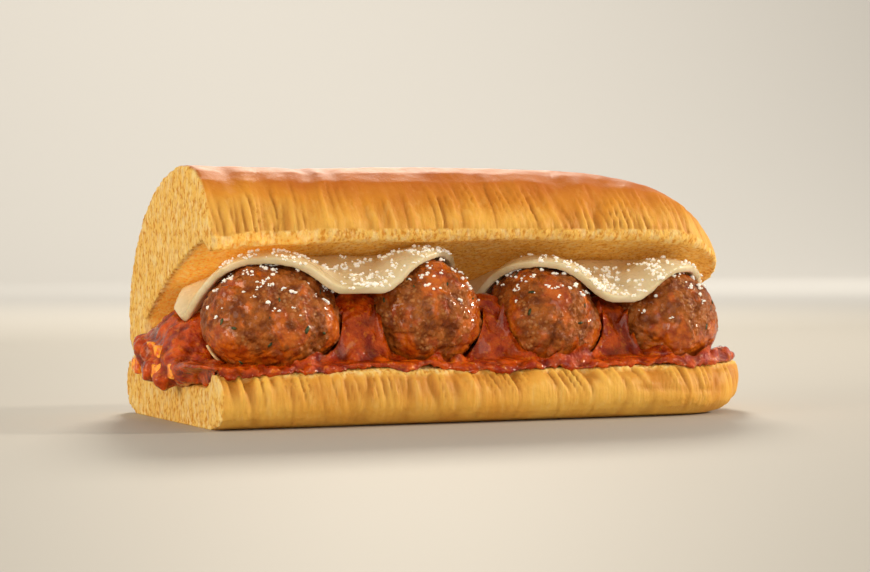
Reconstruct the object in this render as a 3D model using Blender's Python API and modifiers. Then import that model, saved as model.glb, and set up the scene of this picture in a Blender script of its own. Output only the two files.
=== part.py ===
"""Meatball sandwich on half of a long soft roll.

The roll was cut across with a knife at -X and baked round at +X. It is slit along its -Y side and
folded open on a hinge of crumb at +Y. Four meatballs stand in tomato sauce on the bottom half, two
half slices of cheese hang over them, and the top half rests on the cheese.

Every length is in metres, written as millimetres times MM. X runs along the roll, and +Z is up.
"""

import math
import random

import bmesh
import bpy
from mathutils import Vector, noise
from mathutils.bvhtree import BVHTree

MM = 0.001
GAP = 0.3 * MM  # air left between two pieces that touch
BALL_ROOM = 0.5 * MM  # more air where skins are coarser
SLICE_ROOM = 1.1 * MM
CORNER_LIMIT = 1.6  # most that a sharp corner may be moved out beyond the room asked for
SHARP_ANGLE = math.radians(50)

# The whole roll, from the knife cut to the round end
ROLL_LENGTH = 157 * MM
CUT_X = -ROLL_LENGTH / 2
TIP_X = ROLL_LENGTH / 2
STATION_STEP = 3 * MM  # distance between two cross-sections of a loft
TIP_STATIONS = 10
TIP_TURN = 0.47 * math.pi  # just short of a quarter turn, so that the tip ends in a small face
PLAN_TAPER = 35 * MM  # length over which the roll narrows to its round end
TAPER_POWER = 2.2

# Bottom half of the roll: a slab with round sides and a trough pressed into its cut face
SLAB_MIDDLE = 1.5 * MM
SLAB_NOSE = 8 * MM  # how far each round side stands out
FRONT_NOSE_Y = -30 * MM
BACK_NOSE_Y = 33 * MM
RIM_HEIGHT = 14.4 * MM
HINGE_HEIGHT = 16 * MM
TROUGH_DEPTH = 4.2 * MM
TROUGH_FRONT_WALL = 5 * MM
TROUGH_BACK_SLOPE = 24 * MM
FACE_ROWS = (25 * MM, 14 * MM, 0, -14 * MM, -21 * MM, -26 * MM)  # where a section's face has points
BASE_ROWS = (-12 * MM, 14 * MM)
BOTTOM_TAPER = 24 * MM  # length over which the base curls up to the rim at the round end
NOSE_POWER = 2.2

# Top half of the roll, measured about the hinge: along runs towards +Y in the cut plane, and up
# is square to it
HINGE_Y = 30 * MM
HINGE_Z = 18 * MM
OPENING = math.radians(25.3)
CROWN_MIDDLE = -30 * MM
CROWN_HALF_WIDTH = 36 * MM
CROWN_HEIGHT = 30.5 * MM
WIDEST_HEIGHT = 4 * MM
FLAP_TAPER = 42 * MM
CROWN_TAPER = 60 * MM
CROWN_TAPER_POWER = 1.9
FLAP_SHORTFALL = 3.2 * MM  # the top half ends a little before the bottom half does
CROWN_FRONT_POWER = 2.3
CROWN_BACK_POWER = 1.8
LIP_ROUNDING = 3 * MM
LIP_DROP = 3.5 * MM  # the lip hangs lower at the knife cut, where nothing lifts it
LIP_DROP_REACH = 22 * MM
HOLLOW_DEPTH = 5 * MM  # how far the filling has pressed into the crumb above it
HOLLOW_POWER = 0.6  # below 1, the hollow is as deep near the lip as in the middle
HINGE_ROOT = 6 * MM  # how deep the top half's back edge is sunk into the bottom half
HINGE_END = (0.78, 0.96)  # share of full width at which the root is gone, and at which it is whole
HINGE_STEPS = ((1.2 * MM, 0.4), (3.6 * MM, 1), (10 * MM, 1))  # inward, and share of the root's depth
UNDERSIDE_ROWS = (0.62, 0.36, 0.05, -0.3, -0.6, -0.82)
WRINKLED_FROM = 8 * MM  # the front crust is wrinkled from here down, and smooth over the top
WRINKLED_FADE = (20 * MM, 16 * MM)  # how slowly the wrinkles fade in outwards and upwards

# Crust relief
WRINKLE_DEPTH = 0.9 * MM
WRINKLE_SPACING = 4.6 * MM
WRINKLE_LENGTH = 14 * MM
WRINKLE_SHARPNESS = 2.6
UNEVENNESS = 0.9 * MM
UNEVEN_SPACING = 34 * MM

# Meatballs: middle and half sizes
BALL_Y = -19 * MM
BALLS = {
    "meatball_1": ((-59.3 * MM, BALL_Y, 25.4 * MM), (17.7 * MM, 16.2 * MM, 15.2 * MM)),
    "meatball_2": ((-19.3 * MM, BALL_Y, 26.2 * MM), (15.6 * MM, 15.4 * MM, 15.3 * MM)),
    "meatball_3": ((14.8 * MM, BALL_Y, 24.4 * MM), (15.6 * MM, 15.4 * MM, 14.9 * MM)),
    "meatball_4": ((50.2 * MM, BALL_Y, 24.0 * MM), (15.4 * MM, 15.2 * MM, 14.4 * MM)),
}
BALL_SEGMENTS = 20
BALL_RINGS = 10
BALL_LUMPS = 0.75 * MM
LUMP_SIZES = (7 * MM, 3.5 * MM)

# Half slices of cheese: low and high end along X, height of the slack between the two meatballs
# that each one covers, and those meatballs
SLICES = {
    "cheese_1": (-77.6 * MM, -3.6 * MM, 33.0 * MM, ("meatball_1", "meatball_2")),
    "cheese_2": (-1.6 * MM, 68.5 * MM, 30.2 * MM, ("meatball_3", "meatball_4")),
}
SLICES_MEET_X = -2.6 * MM
SLICE_THICKNESS = 2.5 * MM
SLICE_BACK_Y = 9 * MM
SLICE_FRONT_Y = -30.5 * MM
SLICE_POWER = 2.6  # how blunt the ends of the half round are
SLICE_END = 0.975  # share of the full half round that is kept, so that its points are blunt
SLICE_COLUMNS = 22
SLICE_ROWS = 6
SLICE_CROWDING = 0.35  # how much the columns crowd towards the ends
DRAPE_CLEARANCE = 1.2 * MM  # air under a slice, filled by the glaze on the meat
DRAPE_TANGENT = 0.76  # share of a meatball's radius at which the slice leaves it
SLACK_RISE = 0.42  # how fast the slack between two meatballs climbs towards the hinge
END_DROP = 1.12  # how fast a slice falls beyond its last meatball
FOLD_SOFTNESS = 2.2 * MM

# Tomato sauce
SAUCE_START = CUT_X - 4.2 * MM
SAUCE_END = TIP_X - 5 * MM
BULGE_STATIONS = 4  # cross-sections of the part that bulges out of the knife cut
SAUCE_BACK_Y = 22 * MM
SAUCE_ROWS = (0, 0.03, 0.07, 0.12, 0.18, 0.24, 0.31, 0.4, 0.54, 0.76, 1)
SAUCE_EDGE = 0.2  # share of its width over which the sauce rounds down to its front edge
SAUCE_BED = 15.3 * MM
SAUCE_DRIP = 9.6 * MM  # lowest point of the sauce outside the knife cut
SAUCE_LUMPS = 1.3 * MM
SAUCE_LUMP_SIZES = (5 * MM, 2.6 * MM)
SAUCE_BACK_FILL = 34 * MM  # behind the meatballs the sauce fills the fold
BACK_FILL_Y = (-12 * MM, 0 * MM)  # where that fill begins, and where it is whole
BACK_FILL_X = (46 * MM, 60 * MM)  # where it starts to fall towards the round end, and is gone
SAUCE_LIFT = 0.6 * MM  # air between the sauce and the bread under it
SAUCE_FILM = 1 * MM  # least thickness of the sauce
SAUCE_UNDER_SLICE = 3.2 * MM  # from the middle of a slice down to the sauce
SPILL_SPACING = 6 * MM  # how often the sauce runs down over the rim
BULGE_RISE = 3 * MM  # how the section shrinks as it comes out of the cut: from below,
BULGE_SIDES = (8 * MM, 5 * MM)  # from the front and the back,
BULGE_SINK = 0.6  # and from above
SAUCE_MOUNDS = ((-39 * MM, 29 * MM), (-2.5 * MM, 27 * MM), (32.5 * MM, 26 * MM))
MOUND_WIDTH = 6.5 * MM
MOUND_FORWARD = (-33 * MM, -21 * MM)  # where a mound begins to rise, and is at its height
TOMATO_DICE = (
    ((-82.2 * MM, 25 * MM, 15 * MM), 2.8 * MM),
    ((-82.6 * MM, 12 * MM, 18 * MM), 2.4 * MM),
    ((-82.8 * MM, 5.5 * MM, 17.4 * MM), 2.2 * MM),
    ((-83.0 * MM, 2 * MM, 13.2 * MM), 3.1 * MM),
    ((-82.6 * MM, -6 * MM, 10.6 * MM), 2.7 * MM),
)

# Grated cheese that is large enough to see from a step away
GRAIN_SIZE = (0.55 * MM, 1.0 * MM)
GRAIN_SPACING = 2.6 * MM
GRAIN_STRETCH = (0.8, 1.25)
GRAINS_ON_SLICE = 10
GRAINS_ON_BALL = 5
GRAINS_UP_TO_Y = -12 * MM
TRIES_PER_GRAIN = 60

COLOURS = {
    "bread": ((0.62, 0.33, 0.10), 0.75),
    "meat": ((0.24, 0.07, 0.03), 0.55),
    "cheese": ((0.74, 0.66, 0.44), 0.45),
    "sauce": ((0.42, 0.05, 0.01), 0.3),
}


def clear_scene():
    for thing in list(bpy.data.objects):
        bpy.data.objects.remove(thing, do_unlink=True)


def new_collection(name):
    made = bpy.data.collections.new(name)
    bpy.context.scene.collection.children.link(made)
    return made


def finish_of(name):
    """The Principled material of that name, made once."""
    material = bpy.data.materials.get(name)
    if material is None:
        colour, roughness = COLOURS[name]
        material = bpy.data.materials.new(name)
        material.use_nodes = True
        shader = material.node_tree.nodes["Principled BSDF"]
        shader.inputs["Base Color"].default_value = (*colour, 1)
        shader.inputs["Roughness"].default_value = roughness
        shader.inputs["Metallic"].default_value = 0
    return material


def object_from(name, shape, collection, finish):
    """An object from a bmesh, with its normals pointing out."""
    bmesh.ops.recalc_face_normals(shape, faces=shape.faces)
    mesh = bpy.data.meshes.new(name)
    shape.to_mesh(mesh)
    shape.free()
    mesh.shade_smooth()
    mesh.set_sharp_from_angle(angle=SHARP_ANGLE)
    made = bpy.data.objects.new(name, mesh)
    made.data.materials.append(finish_of(finish))
    collection.objects.link(made)
    return made


def clamp(value, low=0.0, high=1.0):
    return max(low, min(high, value))


def smooth_step(value):
    share = clamp(value)
    return share * share * (3 - 2 * share)


def step_between(value, low, high):
    """A smooth rise from 0 at one value to 1 at another."""
    return smooth_step((value - low) / (high - low))


def smooth_max(a, b, softness):
    """The larger of two heights, with the crease between them rounded."""
    blend = clamp(0.5 + 0.5 * (a - b) / softness)
    return b + (a - b) * blend + softness * blend * (1 - blend)


def smooth_min(a, b, softness):
    return -smooth_max(-a, -b, softness)


def superellipse(share, power):
    """Height of a unit superellipse at a share of its half width."""
    return (1 - min(abs(share), 1) ** power) ** (1 / power)


def taper(x, length, power=TAPER_POWER):
    """Share of its full size that the roll still has at x, where it closes over that length."""
    return superellipse(max(0.0, (x - TIP_X + length) / length), power)


def loft(name, rings, collection, finish):
    """A closed skin through rings that all have the same number of points."""
    shape = bmesh.new()
    rows = [[shape.verts.new(point) for point in ring] for ring in rings]
    for row, following in zip(rows, rows[1:]):
        for i, corner in enumerate(row):
            after = (i + 1) % len(row)
            shape.faces.new((corner, row[after], following[after], following[i]))
    shape.faces.new(rows[0])
    shape.faces.new(rows[-1])
    return object_from(name, shape, collection, finish)


def roll_stations():
    """Even steps along the straight stretch, then steps that close up towards the tip."""
    straight = ROLL_LENGTH - PLAN_TAPER
    steps = round(straight / STATION_STEP)
    even = [CUT_X + straight * i / steps for i in range(steps)]
    turns = [TIP_TURN * i / TIP_STATIONS for i in range(TIP_STATIONS + 1)]
    return even + [TIP_X - PLAN_TAPER + PLAN_TAPER * math.sin(turn) for turn in turns]


def wrinkle(x, height):
    """Depth of the upright creases that run over the front crust."""
    fold = noise.noise(Vector((x / WRINKLE_SPACING, height / WRINKLE_LENGTH, 3.7)))
    return WRINKLE_DEPTH * (1 - WRINKLE_SHARPNESS * abs(fold))


def unevenness(x, y, z, seed):
    place = Vector((x, y, z)) / UNEVEN_SPACING
    return UNEVENNESS * noise.noise(place + Vector((seed, 0, 0)))


def trough_height(y):
    """Height of the bottom half's cut face across its width."""
    across = (y - FRONT_NOSE_Y) / (BACK_NOSE_Y - FRONT_NOSE_Y)
    line = RIM_HEIGHT + (HINGE_HEIGHT - RIM_HEIGHT) * across
    wall = smooth_step((y - FRONT_NOSE_Y) / TROUGH_FRONT_WALL)
    slope = smooth_step((BACK_NOSE_Y - y) / TROUGH_BACK_SLOPE)
    return line - TROUGH_DEPTH * wall * slope


def nose_points(middle_y, height, turns):
    """Points on a round side: a superellipse standing on the base."""
    half = height / 2
    points = []
    for turn in turns:
        across = math.copysign(abs(math.cos(turn)) ** (2 / NOSE_POWER), math.cos(turn))
        up = math.copysign(abs(math.sin(turn)) ** (2 / NOSE_POWER), math.sin(turn))
        points.append((middle_y + SLAB_NOSE * across, half + half * up))
    return points


def on_slab(x, y, z):
    """A point of the bottom half's skin: uneven, wrinkled in front, closed in at the round end."""
    swell = unevenness(x, y, z, 0)
    if z > 1 * MM:
        z += swell * z / RIM_HEIGHT
    if y <= FRONT_NOSE_Y:
        y -= wrinkle(x, z) * smooth_step(z / RIM_HEIGHT) + swell
    width = taper(x, PLAN_TAPER)
    depth = taper(x, BOTTOM_TAPER)
    return (x, SLAB_MIDDLE + (y - SLAB_MIDDLE) * width, RIM_HEIGHT - (RIM_HEIGHT - z) * depth)


def front_nose():
    return nose_points(FRONT_NOSE_Y, RIM_HEIGHT, [math.pi * (0.5 + i / 7) for i in range(8)])


def slab_ring(x):
    """Cross-section of the bottom half at x."""
    back = nose_points(BACK_NOSE_Y, HINGE_HEIGHT, [math.pi * (1.5 + i / 4) for i in range(5)])
    base = [(y, 0) for y in BASE_ROWS]
    face = [(y, trough_height(y)) for y in FACE_ROWS]
    return [on_slab(x, y, z) for y, z in front_nose() + base + back + face]


def folded_open(x, along, up):
    """A point of the top half, turned up about the hinge."""
    return (
        x,
        HINGE_Y + along * math.cos(OPENING) + up * math.sin(OPENING),
        HINGE_Z - along * math.sin(OPENING) + up * math.cos(OPENING),
    )


def hollow_depth(share):
    """Depth of the hollow in the top half's cut face, from its lip at 0 to its hinge at 1."""
    return HOLLOW_DEPTH * max(0.0, math.sin(math.pi * clamp(share))) ** HOLLOW_POWER


def underside(y):
    """Height of the top half's cut face above a point across the width."""
    along = (y - HINGE_Y) / math.cos(OPENING)
    share = 1 + along / (CROWN_HALF_WIDTH - CROWN_MIDDLE)
    return HINGE_Z - along * math.sin(OPENING) + hollow_depth(share)


def flap_ring(x):
    """Cross-section of the top half at x."""
    width = taper(x, FLAP_TAPER)
    height = taper(x, CROWN_TAPER, CROWN_TAPER_POWER)
    rise = CROWN_HEIGHT - WIDEST_HEIGHT
    drop = LIP_DROP * math.exp((CUT_X - x) / LIP_DROP_REACH)
    root = HINGE_ROOT * clamp((width - HINGE_END[0]) / (HINGE_END[1] - HINGE_END[0]))
    edge = -CROWN_HALF_WIDTH

    crust = [(edge + LIP_ROUNDING, -drop), (edge + LIP_ROUNDING * 0.3, (WIDEST_HEIGHT - drop) * 0.4)]
    for i in range(8):
        turn = math.pi / 2 * i / 8
        share = -math.cos(turn)
        crust.append((edge * -share, WIDEST_HEIGHT + rise * superellipse(share, CROWN_FRONT_POWER)))
    for i in range(6):
        turn = math.pi / 2 * (1 - i / 5)
        share = math.cos(turn)
        crust.append((-edge * share, WIDEST_HEIGHT + rise * superellipse(share, CROWN_BACK_POWER)))

    x -= FLAP_SHORTFALL * max(0.0, 1 - (TIP_X - x) / PLAN_TAPER)
    ring = []
    for along, up in crust:
        front = smooth_step((-along - WRINKLED_FROM) / WRINKLED_FADE[0])
        front *= smooth_step((CROWN_HEIGHT - up) / WRINKLED_FADE[1])
        out = unevenness(x, along, up, 5) + wrinkle(x, up + 40 * MM) * front
        scale = 1 + out / CROWN_HALF_WIDTH
        ring.append(folded_open(x, CROWN_MIDDLE + along * scale * width, up * scale * height))

    back = CROWN_MIDDLE + CROWN_HALF_WIDTH * width
    ring += [folded_open(x, back - inward * width, -root * sunk) for inward, sunk in HINGE_STEPS]
    reach = CROWN_HALF_WIDTH * width - 1 * MM
    for share in UNDERSIDE_ROWS:
        along = CROWN_MIDDLE + reach * share
        ring.append(folded_open(x, along, hollow_depth((1 + share) / 2) * height))
    return ring


def select_only(thing):
    for other in bpy.context.selected_objects:
        other.select_set(False)
    bpy.context.view_layer.objects.active = thing
    thing.select_set(True)


def apply_modifier(thing, modifier):
    select_only(thing)
    bpy.ops.object.modifier_apply(modifier=modifier.name)


def boolean(thing, other, operation):
    """Joins or cuts two closed skins. MANIFOLD, because EXACT drops faces of the lumpy sauce."""
    cut = thing.modifiers.new(operation.lower(), "BOOLEAN")
    cut.operation = operation
    cut.object = other
    cut.solver = "MANIFOLD"
    apply_modifier(thing, cut)


def remove(thing):
    bpy.data.objects.remove(thing, do_unlink=True)


def swollen(thing, collection, by):
    """A copy with every face moved out, used to cut the room that a neighbour needs."""
    shape = bmesh.new()
    shape.from_mesh(thing.data)
    bmesh.ops.remove_doubles(shape, verts=shape.verts, dist=0.01 * MM)
    shape.normal_update()
    moves = [(vert, vert.normal * by * min(vert.calc_shell_factor(), CORNER_LIMIT)) for vert in shape.verts]
    for vert, move in moves:
        vert.co += move
    cutter = object_from(thing.name + "_room", shape, collection, "bread")
    cutter.hide_render = True
    cutter.display_type = "WIRE"
    return cutter


def islands_of(shape):
    """The vertices of each separate body in a bmesh."""
    unseen = set(shape.verts)
    while unseen:
        found = {unseen.pop()}
        front = list(found)
        while front:
            vert = front.pop()
            near = {edge.other_vert(vert) for edge in vert.link_edges} & unseen
            unseen -= near
            found |= near
            front.extend(near)
        yield found


def keep_largest(thing):
    """Drops the loose scraps that a cut leaves, and closes up its tiniest edges."""
    shape = bmesh.new()
    shape.from_mesh(thing.data)
    bmesh.ops.remove_doubles(shape, verts=shape.verts, dist=0.002 * MM)
    bodies = sorted(islands_of(shape), key=len)
    scraps = [vert for body in bodies[:-1] for vert in body]
    bmesh.ops.delete(shape, geom=scraps, context="VERTS")
    shape.to_mesh(thing.data)
    shape.free()


def cut_out(thing, rooms):
    """Cuts the room of each neighbour out of a piece."""
    for room in rooms:
        boolean(thing, room, "DIFFERENCE")
    keep_largest(thing)


def make_roll(collection, cutters):
    """Both halves of the roll as one solid, two lofts that meet in the hinge of crumb."""
    stations = roll_stations()
    roll = loft("roll", [slab_ring(x) for x in stations], collection, "bread")
    flap = loft("flap", [flap_ring(x) for x in stations], collection, "bread")
    rooms = [swollen(roll, cutters, GAP), swollen(flap, cutters, GAP)]
    boolean(roll, flap, "UNION")
    remove(flap)
    keep_largest(roll)
    return roll, rooms


def make_ball(name, collection):
    """A hand-rolled ball with a lumpy skin."""
    middle, half = BALLS[name]
    shape = bmesh.new()
    bmesh.ops.create_uvsphere(shape, u_segments=BALL_SEGMENTS, v_segments=BALL_RINGS, radius=1)
    for vert in shape.verts:
        place = Vector(tuple(vert.co[i] * half[i] for i in range(3)))
        lump = noise.noise((place + Vector(middle)) / LUMP_SIZES[0])
        lump += 0.5 * noise.noise((place + Vector(middle)) / LUMP_SIZES[1])
        vert.co = Vector(middle) + place * (1 + BALL_LUMPS * lump / half[0])
    return object_from(name, shape, collection, "meat")


def dome_height(x, y, ball):
    """Height of a slice's middle over a meatball, falling straight once it has left the ball."""
    middle, half = BALLS[ball]
    radius = half[0] + DRAPE_CLEARANCE + SLICE_THICKNESS / 2
    off = math.hypot(x - middle[0], y - middle[1])
    leave = DRAPE_TANGENT * radius
    top = middle[2] - half[0] + half[2]
    if off < leave:
        return top + math.sqrt(radius ** 2 - off ** 2)
    edge = math.sqrt(radius ** 2 - leave ** 2)
    return top + edge - (off - leave) * leave / edge


def slice_height(x, y, name):
    """Height of the middle of a slice: over two meatballs, slack between them, under the crumb."""
    low, high, slack_height, balls = SLICES[name]
    ends = [BALLS[ball][0][0] for ball in balls]
    beyond = max(0.0, abs(x - sum(ends) / 2) - abs(ends[1] - ends[0]) / 2)
    slack = slack_height + SLACK_RISE * (y - SLICE_FRONT_Y) - END_DROP * beyond
    height = smooth_max(dome_height(x, y, balls[0]), dome_height(x, y, balls[1]), FOLD_SOFTNESS)
    height = smooth_max(height, slack, FOLD_SOFTNESS)
    return smooth_min(height, underside(y) - SLICE_THICKNESS / 2 - GAP, FOLD_SOFTNESS)


def make_slice(name, collection):
    """A half round slice of soft cheese, hung over two meatballs."""
    low, high = SLICES[name][:2]
    shape = bmesh.new()
    bmesh.ops.create_grid(shape, x_segments=SLICE_COLUMNS, y_segments=SLICE_ROWS, size=1)
    for vert in shape.verts:
        closer = math.sin(vert.co.x * math.pi / 2)
        along = SLICE_END * (vert.co.x + (closer - vert.co.x) * SLICE_CROWDING)
        x = (low + high) / 2 + (high - low) / 2 * along
        front = SLICE_BACK_Y - (SLICE_BACK_Y - SLICE_FRONT_Y) * superellipse(along, SLICE_POWER)
        y = SLICE_BACK_Y + (front - SLICE_BACK_Y) * (1 - vert.co.y) / 2
        vert.co = (x, y, slice_height(x, y, name))
    cheese = object_from(name, shape, collection, "cheese")
    wall = cheese.modifiers.new("thickness", "SOLIDIFY")
    wall.thickness = SLICE_THICKNESS
    wall.offset = 0
    wall.use_even_offset = True
    apply_modifier(cheese, wall)
    return cheese


def sauce_top(x, y):
    """Height of the sauce before the meatballs are cut out of it."""
    place = Vector((x, y, 0))
    lumps = noise.noise(place / SAUCE_LUMP_SIZES[0])
    lumps += 0.6 * noise.noise(place / SAUCE_LUMP_SIZES[1] + Vector((0, 0, 7)))
    height = SAUCE_BED + SAUCE_LUMPS * lumps
    behind = step_between(y, *BACK_FILL_Y) * (1 - step_between(x, *BACK_FILL_X))
    height += (SAUCE_BACK_FILL - SAUCE_BED) * behind
    for middle, top in SAUCE_MOUNDS:
        across = (x - middle) / MOUND_WIDTH
        forward = step_between(y, *MOUND_FORWARD)
        height += max(0.0, top - height) * math.exp(-across * across) * forward
    above = "cheese_1" if x < SLICES_MEET_X else "cheese_2"
    height = min(height, slice_height(x, y, above) - SAUCE_UNDER_SLICE)
    return min(height, underside(y) - SAUCE_FILM)


def sauce_ring(x, bulge):
    """Cross-section of the sauce: its open skin from front to back, then its bottom.

    The bulge is how far the section has come out of the knife cut: 0 inside, 1 at its outer end."""
    top_of_nose, upper_nose, lower_nose = [Vector(on_slab(x, y, z)) for y, z in front_nose()[:3]]
    out = Vector((0, -0.5, 0.86)) * SAUCE_LIFT
    up = Vector((0, 0, SAUCE_LIFT))
    spill = clamp(0.45 + 0.7 * noise.noise(Vector((x / SPILL_SPACING, 1.5, 0))), 0.05, 0.95)
    edge = upper_nose.lerp(lower_nose, spill) + out
    width = taper(x, PLAN_TAPER)
    back = SLAB_MIDDLE + (SAUCE_BACK_Y - SLAB_MIDDLE) * width
    front = edge.y + BULGE_SIDES[0] * bulge
    back -= BULGE_SIDES[1] * bulge
    ring = []
    for share in SAUCE_ROWS:
        y = front + (back - front) * share
        rounded = superellipse(max(0.0, 1 - share / SAUCE_EDGE), 2)
        rim = clamp((y - edge.y) / (top_of_nose.y - edge.y))
        floor = edge.z + (top_of_nose.z + SAUCE_LIFT - edge.z) * rim + SAUCE_FILM
        height = max(floor, edge.z + (sauce_top(x, y) - edge.z) * rounded)
        middle = (SAUCE_DRIP + height) / 2
        ring.append((x, y, middle + (height - middle) * (1 - BULGE_SINK * bulge * bulge)))
    ring[0] = (x, front, edge.z + SAUCE_FILM / 2)
    bottom = [Vector(on_slab(x, y, trough_height(y))) + up for y in FACE_ROWS[1:]]
    bottom += [top_of_nose + up, upper_nose + out, edge]
    for place in bottom:
        if bulge > 0:
            place.z = SAUCE_DRIP + BULGE_RISE * bulge
            place.y = front + (place.y - edge.y) * (back - front) / (SAUCE_BACK_Y - edge.y)
        ring.append(place)
    return ring


def make_sauce(collection):
    """The sauce that fills the fold, with its tomato dice."""
    outside = CUT_X - GAP
    sections = []
    for i in range(BULGE_STATIONS, -1, -1):
        bulge = max(0.02, i / BULGE_STATIONS)
        sections.append((outside + (SAUCE_START - outside) * math.sin(bulge * math.pi / 2), bulge))
    sections += [(x, 0) for x in roll_stations() if x < SAUCE_END]
    sauce = loft("sauce", [sauce_ring(x, bulge) for x, bulge in sections], collection, "sauce")
    for place, size in TOMATO_DICE:
        shape = bmesh.new()
        bmesh.ops.create_icosphere(shape, subdivisions=1, radius=size)
        bmesh.ops.translate(shape, verts=shape.verts, vec=place)
        dice = object_from("dice", shape, collection, "sauce")
        boolean(sauce, dice, "UNION")
        remove(dice)
    return sauce


def tree_of(thing):
    shape = bmesh.new()
    shape.from_mesh(thing.data)
    tree = BVHTree.FromBMesh(shape)
    shape.free()
    return tree


def open_spots(thing, others, draw, wanted, allowed):
    """Evenly spread points on the skin that are open to the air and clear of the other pieces."""
    trees = [tree_of(other) for other in others]
    faces = [face for face in thing.data.polygons if allowed(face.center, face.normal)]
    areas = [face.area for face in faces]
    spots = []
    for _ in range(TRIES_PER_GRAIN * wanted):
        face = draw.choices(faces, areas)[0]
        corners = [thing.data.vertices[i].co for i in face.vertices[:3]]
        shares = sorted((draw.random(), draw.random()))
        spot = corners[0] * shares[0] + corners[1] * (shares[1] - shares[0]) + corners[2] * (1 - shares[1])
        size = draw.uniform(*GRAIN_SIZE)
        if any((spot - other).length < GRAIN_SPACING for other, _ in spots):
            continue
        if all(tree.find_nearest(spot)[3] > size * 1.5 + GAP for tree in trees):
            spots.append((spot, size))
        if len(spots) == wanted:
            break
    return spots


def sprinkle(thing, others, seed, wanted, allowed):
    """Fuses crumbs of grated cheese to a piece."""
    draw = random.Random(seed)
    grains = new_collection(thing.name + "_grains")
    for spot, size in open_spots(thing, others, draw, wanted, allowed):
        shape = bmesh.new()
        bmesh.ops.create_icosphere(shape, subdivisions=1, radius=size)
        for vert in shape.verts:
            vert.co = vert.co * draw.uniform(*GRAIN_STRETCH) + spot
        object_from(thing.name + "_grain", shape, grains, "cheese")
    join = thing.modifiers.new("grains", "BOOLEAN")
    join.operation = "UNION"
    join.operand_type = "COLLECTION"
    join.collection = grains
    join.solver = "MANIFOLD"
    apply_modifier(thing, join)
    for grain in list(grains.objects):
        remove(grain)
    bpy.data.collections.remove(grains)
    keep_largest(thing)


def on_slice(spot, normal):
    """Whether a grain may lie there on a slice: on its upper side, where the top half leaves it open."""
    return normal.z > 0.3 and spot.y < GRAINS_UP_TO_Y


def on_ball(ball):
    """The same test for a meatball: high on the side that looks out of the sandwich."""
    middle, half = BALLS[ball]

    def allowed(spot, normal):
        return spot.z > middle[2] + 0.25 * half[2] and normal.y < 0.1 and spot.y < middle[1]

    return allowed


def stand_on_origin(things):
    """Moves everything so that the middle of the whole object's base is the origin."""
    corners = [vert.co for thing in things for vert in thing.data.vertices]
    low = Vector([min(corner[i] for corner in corners) for i in range(3)])
    high = Vector([max(corner[i] for corner in corners) for i in range(3)])
    shift = Vector((-(low.x + high.x) / 2, -(low.y + high.y) / 2, -low.z))
    for thing in things:
        for vert in thing.data.vertices:
            vert.co += shift


def main():
    clear_scene()
    sandwich = new_collection("sandwich")
    cutters = new_collection("cutters")

    roll, rooms = make_roll(sandwich, cutters)
    balls = [make_ball(name, sandwich) for name in BALLS]
    slices = [make_slice(name, sandwich) for name in SLICES]
    sauce = make_sauce(sandwich)
    for layer, room in ((balls, BALL_ROOM), (slices, SLICE_ROOM), ([sauce], GAP)):
        next_rooms = [swollen(piece, cutters, room) for piece in layer]
        for piece in layer:
            cut_out(piece, rooms)
        rooms += next_rooms

    pieces = [roll, sauce, *balls, *slices]
    for seed, cheese in enumerate(slices):
        others = [piece for piece in pieces if piece != cheese]
        sprinkle(cheese, others, seed, GRAINS_ON_SLICE, on_slice)
    for seed, ball in enumerate(balls):
        others = [piece for piece in pieces if piece != ball]
        sprinkle(ball, others, seed + 10, GRAINS_ON_BALL, on_ball(ball.name))

    for cutter in list(cutters.objects):
        remove(cutter)
    stand_on_origin(pieces)


main()
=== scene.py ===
"""Meatball sandwich on half of a soft roll: the finished look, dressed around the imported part."""

import math
import random

import bmesh
import bpy
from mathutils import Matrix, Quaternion, Vector, noise
from mathutils.bvhtree import BVHTree


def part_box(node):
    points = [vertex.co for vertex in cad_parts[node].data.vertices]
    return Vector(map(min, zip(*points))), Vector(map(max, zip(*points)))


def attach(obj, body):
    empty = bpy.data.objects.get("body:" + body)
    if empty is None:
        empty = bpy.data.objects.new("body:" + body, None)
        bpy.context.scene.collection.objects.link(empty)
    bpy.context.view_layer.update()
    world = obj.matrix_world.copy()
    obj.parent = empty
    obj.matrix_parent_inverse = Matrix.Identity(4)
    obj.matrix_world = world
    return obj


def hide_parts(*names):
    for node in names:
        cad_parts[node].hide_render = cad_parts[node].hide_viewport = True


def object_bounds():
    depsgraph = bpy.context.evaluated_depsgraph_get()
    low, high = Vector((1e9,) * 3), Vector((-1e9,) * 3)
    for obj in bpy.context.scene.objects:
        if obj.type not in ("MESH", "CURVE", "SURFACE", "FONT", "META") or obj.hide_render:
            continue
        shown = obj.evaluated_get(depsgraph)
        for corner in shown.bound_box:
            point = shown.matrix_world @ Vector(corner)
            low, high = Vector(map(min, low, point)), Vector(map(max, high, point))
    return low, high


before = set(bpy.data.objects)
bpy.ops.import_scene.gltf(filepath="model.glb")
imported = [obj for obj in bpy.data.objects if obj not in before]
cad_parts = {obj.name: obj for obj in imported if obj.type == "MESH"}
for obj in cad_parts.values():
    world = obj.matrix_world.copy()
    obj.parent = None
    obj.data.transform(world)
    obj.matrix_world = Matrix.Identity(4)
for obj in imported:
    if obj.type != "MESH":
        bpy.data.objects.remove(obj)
cad_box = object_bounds()

# Roll. Half of a long white roll, baked soft, cut across with a knife and slit open along one
# side. Its crust is a thin skin, wrinkled where the roll sagged as it cooled, golden on top and
# pale at the slit, and inside is fine yellow crumb. Its two halves are joined by the hinge.

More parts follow.
